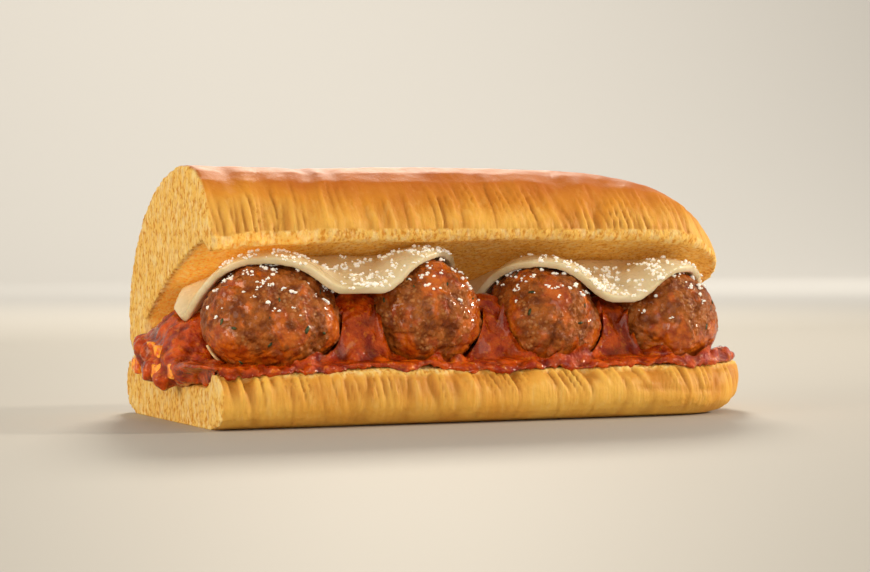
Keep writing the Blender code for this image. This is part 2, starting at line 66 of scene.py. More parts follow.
MM = 0.001
roll_low, roll_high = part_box("roll")
middle = Vector((roll_low.x + 78.5 * MM, roll_high.y - 41 * MM, 0))
hinge_y = 30 * MM
hinge_z = 18 * MM
opening = math.radians(25.3)
halves_meet_z = 17 * MM
rim_z = 13 * MM
cut_x = -78.5 * MM
hollow_depth = 5 * MM
hollow_width = 66 * MM
lip_height = 1.5 * MM
crust_grid = 1.2 * MM
wrinkle_depth = 1.1 * MM
pore_depth = 0.5 * MM


def clamp(value):
    return max(0.0, min(1.0, value))


def smooth_step(value, low=0.0, high=1.0):
    """0 below low, 1 above high, smooth between."""
    share = clamp((value - low) / (high - low))
    return share * share * (3 - 2 * share)


def wander(place, size, seed=0.0):
    """Smooth noise from about -1 to 1 with features of the given size."""
    return noise.noise(place / size + Vector((seed, seed * 1.7, 0)))


def new_piece(name, shape):
    """An object from a bmesh, shaded smooth."""
    mesh = bpy.data.meshes.new(name)
    shape.to_mesh(mesh)
    shape.free()
    mesh.shade_smooth()
    piece = bpy.data.objects.new(name, mesh)
    bpy.context.scene.collection.objects.link(piece)
    return piece


def merged_copy(node, name):
    """A copy of a node's skin with its loose triangles joined."""
    shape = bmesh.new()
    shape.from_mesh(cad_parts[node].data)
    bmesh.ops.remove_doubles(shape, verts=shape.verts, dist=0.01 * MM)
    return new_piece(name, shape)


def apply_modifiers(piece):
    """Puts what the piece's modifiers make into its mesh."""
    view = bpy.context.evaluated_depsgraph_get()
    made = bpy.data.meshes.new_from_object(piece.evaluated_get(view))
    piece.modifiers.clear()
    piece.data = made
    made.shade_smooth()


def regrid(piece, size):
    """Gives a piece an even skin of small squares."""
    grid = piece.modifiers.new("grid", "REMESH")
    grid.mode = "VOXEL"
    grid.voxel_size = size
    grid.use_smooth_shade = True
    apply_modifiers(piece)


def soften(shape, verts, passes):
    """Evens out the skin at the given points."""
    every_axis = {"use_axis_x": True, "use_axis_y": True, "use_axis_z": True}
    for _ in range(passes):
        bmesh.ops.smooth_vert(shape, verts=verts, factor=0.5, **every_axis)


def mark(piece, name, values):
    """Stores one number for each point of the skin, for the material to read."""
    layer = piece.data.attributes.new(name, "FLOAT", "POINT")
    layer.data.foreach_set("value", values)


def in_flap(place):
    """How far a point is along and above the cut plane of the top half, measured at its hinge."""
    y = place.y - hinge_y
    z = place.z - hinge_z
    along = y * math.cos(opening) - z * math.sin(opening)
    up = y * math.sin(opening) + z * math.cos(opening)
    return along, up


def hollow_height(along):
    """Height of the hollow that the filling has pressed into the top half's cut face."""
    return hollow_depth * math.sin(math.pi * clamp(-along / hollow_width)) ** 0.6


def crumb_share(place, normal):
    """1 where the skin is cut or torn crumb, 0 where it is crust."""
    ragged = wander(place, 2.2 * MM, 4) + 0.6 * wander(place, 0.9 * MM, 5)
    knife = smooth_step(cut_x + 0.9 * MM - place.x, 0, 0.5 * MM)
    if place.z < halves_meet_z:
        above_rim = smooth_step(place.z + 0.6 * MM * ragged, rim_z - 0.4 * MM, rim_z + 0.4 * MM)
        facing_up = smooth_step(normal.z, 0.35, 0.7)
        return max(knife, above_rim * facing_up * smooth_step(28 * MM - place.y, 0, 3 * MM))
    along, up = in_flap(place)
    facing_down = -normal.y * math.sin(opening) - normal.z * math.cos(opening)
    lip_here = lip_height - 3.5 * MM * math.exp((cut_x - place.x) / (22 * MM))
    ceiling = hollow_height(along) + 2.5 * MM
    limit = lip_here + (ceiling - lip_here) * smooth_step(facing_down, 0.1, 0.5)
    under = smooth_step(limit - up + 0.8 * MM * ragged, 0, 0.6 * MM)
    return max(knife, under * smooth_step(2 * MM - along, 0, 3 * MM))


def browning(place):
    """How dark the crust is baked: most on the crown, least at the slit and the round end."""
    patch = 0.2 * wander(place, 24 * MM, 2) + 0.12 * wander(place, 7 * MM, 3)
    if place.z < halves_meet_z:
        return clamp(0.1 - 0.1 * smooth_step(place.x, 10 * MM, 50 * MM) + patch)
    up = in_flap(place)[1]
    return clamp(0.05 + 0.8 * smooth_step(up, 3 * MM, 24 * MM) + patch)


def open_side(place):
    """Whether a place is on the wrinkled front or the knife cut, where the skin is finest."""
    if place.x < cut_x + 1.5 * MM or place.z < halves_meet_z:
        return place.x < cut_x + 1.5 * MM or place.y < -26 * MM
    return in_flap(place)[0] < -42 * MM


def valley(place, spacing, length, sharpness, seed):
    """Depth from 0 to 1 of creases that run up the side of the crust, leaning and wandering."""
    across = (place.x + 0.2 * place.z + 4 * MM * wander(place, 28 * MM, seed)) / spacing
    return clamp(1 - sharpness * abs(noise.noise(Vector((across, place.z / length, seed)))))


def pleats(place):
    """The close upright wrinkles next to the slit, strongest at the rim of the bottom half."""
    strength = 0.6 + 0.9 * wander(place, 11 * MM, 19)
    return valley(place, 2.0 * MM, 60 * MM, 2.6, 7) * clamp(strength)


def crinkle(place):
    """Two sharp dents that cross each other near the round end of the bottom half."""
    if place.z > halves_meet_z or place.y > 0:
        return 0
    from_lying = place.z - 8.2 * MM + 0.06 * (place.x - 30 * MM)
    from_standing = place.x - 58 * MM - 0.25 * (place.z - 7 * MM)
    lying = math.exp(-((from_lying / (0.8 * MM)) ** 2))
    lying *= smooth_step(place.x, 28 * MM, 36 * MM) * smooth_step(64 * MM - place.x, 0, 6 * MM)
    standing = math.exp(-((from_standing / (1.1 * MM)) ** 2)) * smooth_step(place.z, 3 * MM, 7 * MM)
    ragged = 0.6 + 0.8 * wander(place, 5 * MM, 21)
    return max(0.55 * lying, 0.8 * standing) * ragged


def wrinkles(place, normal):
    """Depth of the wrinkles: close pleats at the slit, and a few long folds."""
    if place.z < halves_meet_z:
        pleated = 0.2 + 1.5 * smooth_step(place.z, 4 * MM, 13 * MM)
        upright = 1 - smooth_step(abs(normal.z), 0.85, 1.0)
    else:
        pleated = 0.15 + 0.95 * smooth_step(25 * MM - in_flap(place)[1], 0, 19 * MM)
        upright = 1 - smooth_step(abs(normal.z), 0.6, 0.95)
    long_folds = valley(place, 10 * MM, 90 * MM, 9, 9) * (0.3 + 0.5 * pleated)
    return (0.8 * pleats(place) * pleated + 0.6 * long_folds + 0.8 * crinkle(place)) * upright


def painted_underside_glow(place, normal):
    """Painted glow on the underside of the top half, standing in for light through the thin bread,
    most near the cut.
    """
    if place.z < halves_meet_z:
        return 0
    facing_down = smooth_step(-normal.z, -0.3, 0.4)
    behind_lip = smooth_step(place.y, -42 * MM, -30 * MM)
    behind_cut = smooth_step(place.x, cut_x + 0.5 * MM, cut_x + 3 * MM)
    near_cut = 0.3 + smooth_step(-42 * MM - place.x, 0, 25 * MM)
    return facing_down * behind_lip * behind_cut * near_cut


roll = merged_copy("roll", "roll_crust")
regrid(roll, crust_grid)
shape = bmesh.new()
shape.from_mesh(roll.data)
fine_faces = [face for face in shape.faces if open_side(face.calc_center_median() - middle)]
fine_edges = {edge for face in fine_faces for edge in face.edges}
bmesh.ops.subdivide_edges(shape, edges=list(fine_edges), cuts=1, use_grid_fill=True)
rounded = [vert for vert in shape.verts if vert.co.x > roll_low.x + 2 * MM and vert.co.z > 0.5 * MM]
soften(shape, rounded, 6)
shape.to_mesh(roll.data)
shape.free()
roll.data.shade_smooth()
marks = {"crumb": [], "bake": [], "crease": [], "glow": [], "side": []}
normals = [point.normal.copy() for point in roll.data.vertices]
for point, normal in zip(roll.data.vertices, normals):
    place = point.co - middle
    crumb = crumb_share(place, normal)
    folded = wrinkles(place, normal) * (1 - crumb)
    pores = abs(wander(place, 1.5 * MM, 11)) + 0.5 * abs(wander(place, 0.8 * MM, 12))
    swell = 0.14 * MM * wander(place, 5 * MM, 6) * (1 - crumb)
    if place.z > 0.6 * MM:
        point.co -= normal * (wrinkle_depth * folded + pore_depth * crumb * pores - swell)
    marks["crumb"].append(crumb)
    marks["bake"].append(browning(place))
    # How far each point lies in a fold, kept for the painted shade in the folds.
    marks["crease"].append(clamp(folded * 1.3))
    # Painted glow for the underside crumb, stored for the material.
    marks["glow"].append(crumb * painted_underside_glow(place, normal))
    marks["side"].append(1 - smooth_step(abs(normal.z), 0.4, 0.85))
for name, values in marks.items():
    mark(roll, name, values)


class Paint:
    """An output in a material. A sum written with it adds Math nodes to that material."""

    def __init__(self, tree, socket=None):
        self.tree = tree
        self.socket = socket

    def node(self, kind, settings=None, inputs=None, output=0):
        """Adds any node: its settings first, then the values or links of its sockets."""
        made = self.tree.nodes.new("ShaderNode" + kind)
        for name, value in (settings or {}).items():
            if name == "stops":
                while len(made.color_ramp.elements) < len(value):
                    made.color_ramp.elements.new(0.5)
                for element, (position, colour) in zip(made.color_ramp.elements, value):
                    element.position = position
                    element.color = (*colour, 1)
            else:
                setattr(made, name, value)
        for name, value in (inputs or {}).items():
            if isinstance(value, Paint):
                self.tree.links.new(value.socket, made.inputs[name])
            else:
                made.inputs[name].default_value = value
        return Paint(self.tree, made.outputs[output])

    def math(self, operation, *values, clamped=False):
        settings = {"operation": operation, "use_clamp": clamped}
        return self.node("Math", settings, dict(enumerate(values)))

    def __add__(self, other):
        return self.math("ADD", self, other)

    def __sub__(self, other):
        return self.math("SUBTRACT", self, other)

    def __rsub__(self, other):
        return self.math("SUBTRACT", other, self)

    def __mul__(self, other):
        return self.math("MULTIPLY", self, other)

    __radd__ = __add__
    __rmul__ = __mul__

    def band(self, low, high):
        """0 below low, 1 above high, smooth between."""
        settings = {"interpolation_type": "SMOOTHSTEP"}
        return self.node("MapRange", settings, {"Value": self, "From Min": low, "From Max": high})

    def mix(self, first, second):
        """The first colour where this is 0, the second where it is 1."""
        inputs = {0: self, 6: first, 7: second}
        return self.node("Mix", {"data_type": "RGBA"}, inputs, 2)

    def read(self, name):
        return self.node("Attribute", {"attribute_name": name}, None, 2)

    def cloud(self, size, detail=2.0, stretch=(1, 1, 1)):
        """Noise from 0 to 1 in object space, with features of that size in metres."""
        place = self.node("TexCoord", output=3)
        turned = self.node("Mapping", None, {"Vector": place, "Scale": stretch})
        inputs = {"Vector": turned, "Scale": 1 / size, "Detail": detail}
        return self.node("TexNoise", None, inputs)

    def cells(self, size, feature="F1"):
        """Distance pattern of packed cells of that size in metres."""
        place = self.node("TexCoord", output=3)
        inputs = {"Vector": place, "Scale": 1 / size}
        return self.node("TexVoronoi", {"feature": feature}, inputs)

    def bump(self, depth, under=None):
        inputs = {"Height": self, "Distance": depth, "Strength": 1.0}
        if under:
            inputs["Normal"] = under
        return self.node("Bump", None, inputs)


def finish(piece, name, recipe):
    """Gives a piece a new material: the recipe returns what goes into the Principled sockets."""
    material = bpy.data.materials.new(name)
    material.use_nodes = True
    tree = material.node_tree
    shader = tree.nodes["Principled BSDF"]
    for socket, value in recipe(Paint(tree)).items():
        if isinstance(value, Paint):
            tree.links.new(value.socket, shader.inputs[socket])
        else:
            shader.inputs[socket].default_value = value
    piece.data.materials.clear()
    piece.data.materials.append(material)


def bread(paint):
    bake = paint.read("bake") + 0.14 * (paint.cloud(9 * MM, 4) - 0.5)
    bake = bake + 0.1 * (paint.cloud(1.6 * MM) - 0.5)
    stops = [
        (0.0, (0.90, 0.50, 0.085)),
        (0.3, (0.75, 0.295, 0.024)),
        (0.62, (0.57, 0.16, 0.011)),
        (1.0, (0.42, 0.088, 0.005)),
    ]
    crust = bake.node("ValToRGB", {"stops": stops}, {0: bake})
    streak = paint.cloud(1.4 * MM, 3, (1, 1, 0.09))
    side = paint.read("side")
    crust = (streak.band(0.5, 0.72) * side * 0.25).mix(crust, (0.60, 0.20, 0.016, 1))
    crust = (streak.band(0.48, 0.3) * side * 0.3).mix(crust, (0.93, 0.60, 0.18, 1))
    # Painted shade: the crust is darkened in the folds of its wrinkles.
    folded = paint.read("crease")
    crust = (folded * 0.65).mix(crust, (0.50, 0.15, 0.01, 1))
    pores = paint.cloud(0.85 * MM, 4, (1, 1, 0.55))
    inside = pores.band(0.36, 0.54).mix((0.66, 0.27, 0.03, 1), (0.90, 0.55, 0.13, 1))
    streaks = paint.cloud(1.7 * MM, 4, (1, 1, 0.4)).band(0.46, 0.64)
    inside = (streaks * 0.6).mix(inside, (0.97, 0.76, 0.36, 1))
    crumb = paint.read("crumb")
    grain = paint.cloud(0.5 * MM, 3)
    skin = 0.25 * grain + streak * (0.2 + 1.2 * side) + 0.5 * paint.cloud(3 * MM, 3)
    height = crumb * (pores * 1.7 + grain * 0.4) + (1 - crumb) * skin
    return {
        "Base Color": crumb.mix(crust, inside),
        # Painted light: the crumb under the top half glows, in place of light coming through the
        # bread.
        "Emission Color": paint.read("glow").mix((0, 0, 0, 1), (0.30, 0.115, 0.01, 1)),
        "Emission Strength": 1.0,
        "Roughness": 0.55 + 0.3 * crumb + 0.12 * (paint.cloud(3 * MM) - 0.5),
        "Normal": height.bump(0.35 * MM),
        "Subsurface Weight": 0.12,
        "Subsurface Radius": (1.0, 0.45, 0.12),
        "Subsurface Scale": 2.2 * MM,
        "Specular IOR Level": 0.25,
    }


finish(roll, "soft roll bread", bread)
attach(roll, "root")
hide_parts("roll")

# Meatballs. Four hand-rolled balls of coarse ground meat, browned in the oven and simmered in the
# sauce, which clings to them as a thin wet coat and fills their crevices. Each sits in the trough
# of the bottom half.

ball_detail = 6
ball_y = -19 * MM
ball_sizes = {
    "meatball_1": ((-59.3 * MM, ball_y, 25.4 * MM), (17.7 * MM, 16.2 * MM, 15.2 * MM)),
    "meatball_2": ((-19.3 * MM, ball_y, 26.2 * MM), (15.6 * MM, 15.4 * MM, 15.3 * MM)),
    "meatball_3": ((14.8 * MM, ball_y, 24.4 * MM), (15.6 * MM, 15.4 * MM, 14.9 * MM)),
    "meatball_4": ((50.2 * MM, ball_y, 24.0 * MM), (15.4 * MM, 15.2 * MM, 14.4 * MM)),
}
lump_depth = 1.3 * MM
fold_depth = 0.7 * MM
nodule_size = 2.9 * MM
crevice_depth = 0.45 * MM


def coat_share(place, height, crevice, seed):
    """1 where sauce clings to the meat: low down, in the crevices, and in runs higher up."""
    runs = wander(Vector((place.x, place.y, place.z * 0.4)), 5.5 * MM, seed)
    spots = 0.5 * wander(place, 2.4 * MM, seed + 3)
    return smooth_step(runs + spots + 0.25 * crevice + 0.7 * (0.45 - height), -0.05, 0.3)


def meat(paint):
    coat = paint.read("coat")
    tone = paint.cloud(3.2 * MM, 4)
    bits = paint.cells(1.1 * MM)
    lean = tone.band(0.3, 0.7).mix((0.17, 0.032, 0.004, 1), (0.43, 0.12, 0.017, 1))
    fatty = bits.band(0.5, 0.2) * paint.cloud(4 * MM).band(0.45, 0.62) * 0.8
    fat = fatty.mix(lean, (0.52, 0.22, 0.07, 1))
    glaze = paint.cloud(2.6 * MM, 3).band(0.32, 0.68)
    glaze = glaze.mix((0.34, 0.034, 0.001, 1), (0.70, 0.15, 0.005, 1))
    grain = paint.cloud(0.55 * MM, 3) * 0.7 + 1.1 * paint.cells(1.3 * MM) + paint.cloud(2.0 * MM, 2)
    return {
        "Base Color": (coat * 0.8).mix(fat, glaze),
        "Roughness": 0.4 - 0.2 * coat + 0.2 * (paint.cloud(1.2 * MM) - 0.5),
        "Normal": (grain * (1 - 0.35 * coat)).bump(0.42 * MM),
        "Subsurface Weight": 0.08,
        "Subsurface Radius": (1.0, 0.3, 0.1),
        "Subsurface Scale": 1.5 * MM,
        "Specular IOR Level": 0.22,
        "Specular Tint": (1.0, 0.7, 0.45, 1),
        "Coat Weight": 0.2 + 0.5 * coat,
        "Coat Roughness": 0.06,
    }


meatballs = []
for number, (node, (centre, half)) in enumerate(ball_sizes.items()):
    shape = bmesh.new()
    bmesh.ops.create_icosphere(shape, subdivisions=ball_detail, radius=1)
    coats = []
    for vert in shape.verts:
        way = vert.co.normalized()
        place = Vector(centre) + Vector((way.x * half[0], way.y * half[1], way.z * half[2]))
        near, next_near = noise.voronoi(place / nodule_size)[0][:2]
        crevice = 1 - smooth_step(next_near - near, 0.0, 0.35)
        coat = coat_share(place, (way.z + 1) / 2, crevice, number + 1)
        relief = lump_depth * (wander(place, 9 * MM, number + 2) - 0.2)
        relief += 0.4 * MM * wander(place, 3.2 * MM, 6)
        relief -= fold_depth * clamp(1 - 14 * abs(wander(place, 13 * MM, 4)))
        fine = 0.14 * MM * wander(place, 1.0 * MM, 9) - crevice_depth * crevice
        relief += fine * (1 - 0.5 * coat)
        vert.co = place + way * relief + middle
        coats.append(coat)
    ball = new_piece(f"{node}_meat", shape)
    mark(ball, "coat", coats)
    finish(ball, f"browned meat {node[-1]}", meat)
    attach(ball, "root")
    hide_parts(node)
    meatballs.append(ball)

# Sauce. Thick cooked tomato sauce with soft lumps of pulp. It fills the fold round the meatballs,
# stands up between them, runs a little over the rim of the bottom half and bulges out of the cut.

sauce_grid = 0.62 * MM
sauce_swell = 0.5 * MM
lump_size = 3.4 * MM
lump_height = 0.85 * MM
ball_gaps = (-39 * MM, -2.5 * MM, 32.5 * MM)
strand_width = 8 * MM
strand_rise = 4.5 * MM
heap_rise = 2.4 * MM
creep_reach = 3 * MM
creep_height = 5.5 * MM
creep_film = 0.6 * MM


def tomato_sauce(paint):
    thick = paint.cloud(3.4 * MM, 4)
    colour = thick.band(0.3, 0.7).mix((0.30, 0.015, 0.0005, 1), (0.68, 0.095, 0.002, 1))
    pulp = paint.cloud(1.5 * MM, 2).band(0.56, 0.7)
    colour = (pulp * 0.6).mix(colour, (0.80, 0.21, 0.008, 1))
    # Painted shade: the sauce is darkened in the hollows between its lumps.
    colour = (paint.read("deep") * 0.75).mix(colour, (0.12, 0.005, 0.0003, 1))
    lumps = paint.cloud(1.5 * MM, 3) + 0.6 * paint.cells(2.1 * MM) + 0.35 * paint.cloud(0.7 * MM, 2)
    return {
        "Base Color": colour,
        "Roughness": 0.1 + 0.15 * paint.cloud(1.8 * MM, 3).band(0.45, 0.75),
        "Normal": lumps.bump(0.8 * MM),
        "Subsurface Weight": 0.15,
        "Subsurface Radius": (1.0, 0.12, 0.03),
        "Subsurface Scale": 1.5 * MM,
        "Specular IOR Level": 0.25,
        "Specular Tint": (1.0, 0.6, 0.35, 1),
        "Coat Weight": 0.45,
        "Coat Roughness": 0.03,
    }


def lumpiness(point):
    """Height of the lumps of pulp, from about -1 to 1."""
    nearest = noise.voronoi(point / lump_size)[0][0]
    return 0.9 * (0.5 - nearest) + 0.8 * wander(point, 3.6 * MM, 1) + 0.5 * wander(point, 1.7 * MM, 2)


def sunk_front(place):
    """The sauce lies lower in front of the meatballs, so that their lower sides show."""
    in_front = smooth_step(-22 * MM - place.y, 0, 4 * MM)
    return Vector((0, 0, -0.65 * in_front * min(max(place.z - 15 * MM, 0), 2.6 * MM)))


def ragged_edge(place):
    """The edge of the sauce runs down into the pleats of the bottom half's rim."""
    if place.x <= cut_x:
        return Vector()
    over_rim = smooth_step(-31 * MM - place.y, 0, 3 * MM) * smooth_step(17 * MM - place.z, 0, 2 * MM)
    run = (pleats(place) - 0.45) * (0.55 + 1.2 * wander(place, 9 * MM, 17))
    run += 0.5 * wander(place, 6 * MM, 18)
    return Vector((0, 0.75 - 0.7 * run, -0.2 - 1.5 * run)) * MM * over_rim


def thin_tail(place):
    """The sauce thins out behind the last meatball, towards the round end."""
    share = smooth_step(place.x, 58 * MM, 72 * MM) * smooth_step(place.y, -18 * MM, -8 * MM)
    return Vector((0, 0, -0.85 * share * max(place.z - 12.5 * MM, 0)))


def strand(place):
    """The sauce stands up to the slice in each gap between meatballs, and reaches both of them."""
    gap = min(ball_gaps, key=lambda middle_x: abs(place.x - middle_x))
    off = place.x - gap
    high = math.exp(-((off / strand_width) ** 2)) * smooth_step(place.z, 17 * MM, 24 * MM)
    low = math.exp(-((off / (11 * MM)) ** 2)) * smooth_step(place.z, 14 * MM, 17 * MM)
    return Vector((0.8 * off * high + 0.35 * off * low * (1 - high), 0, strand_rise * high))


def cut_corner(place):
    """At the front corner of the knife cut the sauce hangs less far down."""
    share = smooth_step(cut_x + 1 * MM - place.x, 0, 1 * MM)
    share *= smooth_step(-10 * MM - place.y, 0, 16 * MM)
    return Vector((0, 0, 0.75 * share * max(16 * MM - place.z, 0)))


def end_heap(place):
    """A heap of pulp lies in front of the last meatball, at the round end."""
    share = smooth_step(place.x, 52 * MM, 64 * MM) * smooth_step(-20 * MM - place.y, 0, 6 * MM)
    share *= smooth_step(place.z, 14.5 * MM, 16 * MM)
    return Vector((0, 0, heap_rise * share * clamp(0.7 + wander(place, 5 * MM, 29))))


def crept(place):
    """Where a point at the sauce's surface goes as the sauce creeps up the nearest meatball."""
    for centre, half in ball_sizes.values():
        off = Vector((place[k] - centre[k]) / half[k] for k in range(3))
        near = 1 - (off.length - 1) * half[0] / creep_reach
        if near < 0 or off.z > 0:
            continue
        rise = creep_height * smooth_step(near) * clamp(0.5 + 1.1 * wander(place, 4.5 * MM, 23))
        off.z += rise / half[2]
        least = 1 + creep_film / half[0]
        if off.length < least:
            off *= least / off.length
        return Vector(centre[k] + off[k] * half[k] for k in range(3))
    return place


sauce = merged_copy("sauce", "tomato_sauce")
normals = [point.normal.copy() for point in sauce.data.vertices]
for point, normal in zip(sauce.data.vertices, normals):
    point.co += normal * sauce_swell
regrid(sauce, sauce_grid)
shape = bmesh.new()
shape.from_mesh(sauce.data)
soften(shape, shape.verts, 3)
shape.normal_update()
sauce_low, sauce_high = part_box("sauce")
sauce_top = sauce_high + Vector((0, 0, 3.5 * MM))
hollow_shade_marks = []
for vert in shape.verts:
    lump = lumpiness(vert.co)
    vert.co += vert.normal * (lump_height * lump)
    # Painted shade in the low places between the lumps of pulp, stored for the material.
    hollow_shade_marks.append(1 - smooth_step(lump, -0.65, 0.15))
    place = vert.co - middle
    for move in (sunk_front, ragged_edge, thin_tail, strand, cut_corner, end_heap):
        vert.co += move(place)
    if vert.normal.z > 0.2 and place.z > rim_z and abs(place.x) < 58 * MM:
        vert.co = crept(vert.co - middle) + middle
    for axis in range(3):
        vert.co[axis] = min(max(vert.co[axis], sauce_low[axis]), sauce_top[axis])
shape.to_mesh(sauce.data)
shape.free()
mark(sauce, "deep", hollow_shade_marks)
finish(sauce, "tomato sauce", tomato_sauce)
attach(sauce, "root")
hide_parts("sauce")

# Cheese. Two half round slices of mild white cheese, laid over the meatballs and just softened by
# their heat, so that each hangs down between and beyond the two that it covers.

slice_thickness = 2.0 * MM
slice_back = 9 * MM
slice_front = -30.5 * MM
slice_grid = 0.42 * MM
roundness = 2.6
air_under = 0.5 * MM
slices = {
    "cheese_1": (-77.6 * MM, -3.6 * MM, 33.0 * MM, ("meatball_1", "meatball_2")),
    "cheese_2": (-1.6 * MM, 68.5 * MM, 30.2 * MM, ("meatball_3", "meatball_4")),
}


def soft_max(a, b, softness):
    """The larger of two heights, rounded over where they are nearly the same."""
    blend = clamp(0.5 + 0.5 * (a - b) / softness)
    return b + (a - b) * blend + softness * blend * (1 - blend)


def draped_height(x, y, ball):
    """Height of a slice's middle over one ball, straight down once it has left the ball."""
    centre, half = ball_sizes[ball]
    radius = half[0] + slice_thickness / 2 + air_under
    off = math.hypot(x - centre[0], y - centre[1])
    leave = 0.76 * radius
    top = centre[2] - half[0] + half[2]
    if off < leave:
        return top + math.sqrt(radius * radius - off * off)
    edge = math.sqrt(radius * radius - leave * leave)
    return top + edge - (off - leave) * leave / edge


def slice_height(x, y, slack_height, balls):
    """Height of a slice's middle: over two balls, slack between them, under the top half."""
    first, second = (ball_sizes[ball][0][0] for ball in balls)
    beyond = max(0.0, abs(x - (first + second) / 2) - (second - first) / 2)
    slack = slack_height + 0.42 * (y - slice_front) - 1.12 * beyond
    height = soft_max(draped_height(x, y, balls[0]), draped_height(x, y, balls[1]), 2.6 * MM)
    height = soft_max(height, slack, 3 * MM)
    along = (y - hinge_y) / math.cos(opening)
    ceiling = hinge_z - along * math.sin(opening) + hollow_height(along) - slice_thickness / 2
    return -soft_max(-height, -ceiling, 1.5 * MM)


def cheese(paint):
    tone = paint.cloud(11 * MM, 3)
    colour = tone.band(0.3, 0.7).mix((0.68, 0.55, 0.31, 1), (0.83, 0.71, 0.47, 1))
    # Sauce stain and painted shade: the slices turn darker and more orange where they hang low at the
    # front.
    colour = (paint.read("stain") * 0.55).mix(colour, (0.72, 0.33, 0.08, 1))
    oily = paint.cloud(5 * MM, 3).band(0.42, 0.62)
    return {
        "Base Color": colour,
        "Roughness": 0.36 - 0.16 * oily,
        "Normal": (paint.cloud(2.2 * MM, 3) + 0.35 * paint.cloud(0.6 * MM)).bump(0.16 * MM),
        "Subsurface Weight": 0.4,
        "Subsurface Radius": (1.0, 0.7, 0.35),
        "Subsurface Scale": 2.5 * MM,
    }


cheeses = []
for node, (low_x, high_x, slack_height, balls) in slices.items():
    shape = bmesh.new()
    bmesh.ops.create_grid(shape, x_segments=150, y_segments=60, size=1)
    for vert in shape.verts:
        along = 0.975 * (0.35 * math.sin(vert.co.x * math.pi / 2) + 0.65 * vert.co.x)
        x = (low_x + high_x) / 2 + (high_x - low_x) / 2 * along
        reach = (1 - abs(along) ** roundness) ** (1 / roundness)
        back = slice_back - 7 * MM * abs(along) ** 9
        front = slice_back - (slice_back - slice_front) * reach
        y = back + (min(front, back - 3 * MM) - back) * (1 - vert.co.y) / 2
        ripple = 0.35 * MM * wander(Vector((x, y, 0)), 6 * MM, 3)
        vert.co = Vector((x, y, slice_height(x, y, slack_height, balls) + ripple)) + middle
    slab = new_piece(f"{node}_slice", shape)
    wall = slab.modifiers.new("thickness", "SOLIDIFY")
    wall.thickness = slice_thickness
    wall.offset = 0
    apply_modifiers(slab)
    regrid(slab, slice_grid)
    shape = bmesh.new()
    shape.from_mesh(slab.data)
    soften(shape, shape.verts, 6)
    shape.to_mesh(slab.data)
    shape.free()
    stain_and_shade_values = []
    for point in slab.data.vertices:
        place = point.co - middle
        # Where the slices hang low at the front they get both a sauce stain and painted shade.
        low_front = smooth_step(31 * MM - place.z, 0, 5 * MM)
        low_front *= smooth_step(-22 * MM - place.y, 0, 5 * MM)
        stain_and_shade_values.append(clamp(low_front * (0.6 + 1.2 * wander(point.co, 4 * MM, 8))))
    mark(slab, "stain", stain_and_shade_values)
    finish(slab, f"mild cheese {node[-1]}", cheese)
    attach(slab, "root")
    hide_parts(node)
    cheeses.append(slab)

# Grated cheese. Over a thousand crumbs of hard white cheese, strewn over the slices and the tops of
# the meatballs, where they lie in clumps. Each is a small angular lump, and all are one piece.

grain_radius = (0.2 * MM, 0.62 * MM)
clumps_wanted = 620
clump_spread = 0.5
bare_edge = 0.6 * MM
open_front_y = -14 * MM


def skin_tree(piece):
    """A search tree of a piece's skin."""
    shape = bmesh.new()
    shape.from_mesh(piece.data)
    tree = BVHTree.FromBMesh(shape)
    shape.free()
    return tree


def crumb_at(shape, place, size, draw):
    """Adds one small angular lump."""
    lump = bmesh.ops.create_icosphere(shape, subdivisions=1, radius=size)
    stretch = Vector((draw.uniform(0.6, 1.4), draw.uniform(0.6, 1.3), draw.uniform(0.5, 1.0)))
    for vert in lump["verts"]:
        vert.co = Vector(vert.co[i] * stretch[i] * draw.uniform(0.75, 1.25) for i in range(3)) + place


def grated_cheese(paint):
    tone = paint.cloud(1.5 * MM).band(0.3, 0.7)
    return {
        "Base Color": tone.mix((0.92, 0.87, 0.76, 1), (0.96, 0.94, 0.88, 1)),
        "Roughness": 0.55 + 0.2 * (paint.cloud(0.6 * MM) - 0.5),
        "Normal": paint.cloud(0.3 * MM, 3).bump(0.06 * MM),
        # Painted light: the grains glow faintly so that they look brightly lit.
        "Emission Color": (0.17, 0.16, 0.135, 1),
        "Emission Strength": 1.0,
        "Subsurface Weight": 0.3,
        "Subsurface Radius": (1.0, 0.8, 0.5),
        "Subsurface Scale": 0.6 * MM,
    }


draw = random.Random(5)
grains = bmesh.new()
slice_trees = [skin_tree(piece) for piece in cheeses]
sources = []
for piece in meatballs + cheeses:
    on_meat = piece in meatballs
    for point in piece.data.vertices:
        place = point.co - middle
        if place.y > open_front_y or point.normal.z < (0.5 if on_meat else 0.25):
            continue
        if on_meat and min(tree.find_nearest(point.co)[3] for tree in slice_trees) < bare_edge:
            continue
        gathered = 0.3 + wander(point.co, 7 * MM, 14) + (0.2 if on_meat or place.y < -24 * MM else 0)
        if draw.random() < gathered * 0.12:
            sources.append((point.co.copy(), point.normal.copy()))
for spot, normal in draw.sample(sources, min(clumps_wanted, len(sources))):
    for _ in range(draw.choice((1, 1, 2, 3, 4))):
        size = draw.uniform(*grain_radius) * draw.uniform(0.7, 1)
        aside = Vector((draw.gauss(0, clump_spread), draw.gauss(0, clump_spread), 0)) * MM
        crumb_at(grains, spot + normal * size * 0.5 + aside - normal * aside.dot(normal), size, draw)
strewn = new_piece("grated_cheese", grains)
finish(strewn, "grated cheese", grated_cheese)
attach(strewn, "root")

# Herbs. Flecks of dark green leaf worked into the meat, lying flat in its skin.

flecks_on_ball = 16
fleck_size = (0.5 * MM, 1.0 * MM)


def herb(paint):
    veins = paint.cloud(0.5 * MM, 3, (1, 0.3, 1))
    return {
        "Base Color": veins.band(0.3, 0.7).mix((0.012, 0.022, 0.004, 1), (0.06, 0.085, 0.015, 1)),
        "Roughness": 0.4 + 0.2 * (paint.cloud(0.5 * MM) - 0.5),
        "Normal": veins.bump(0.05 * MM),
    }


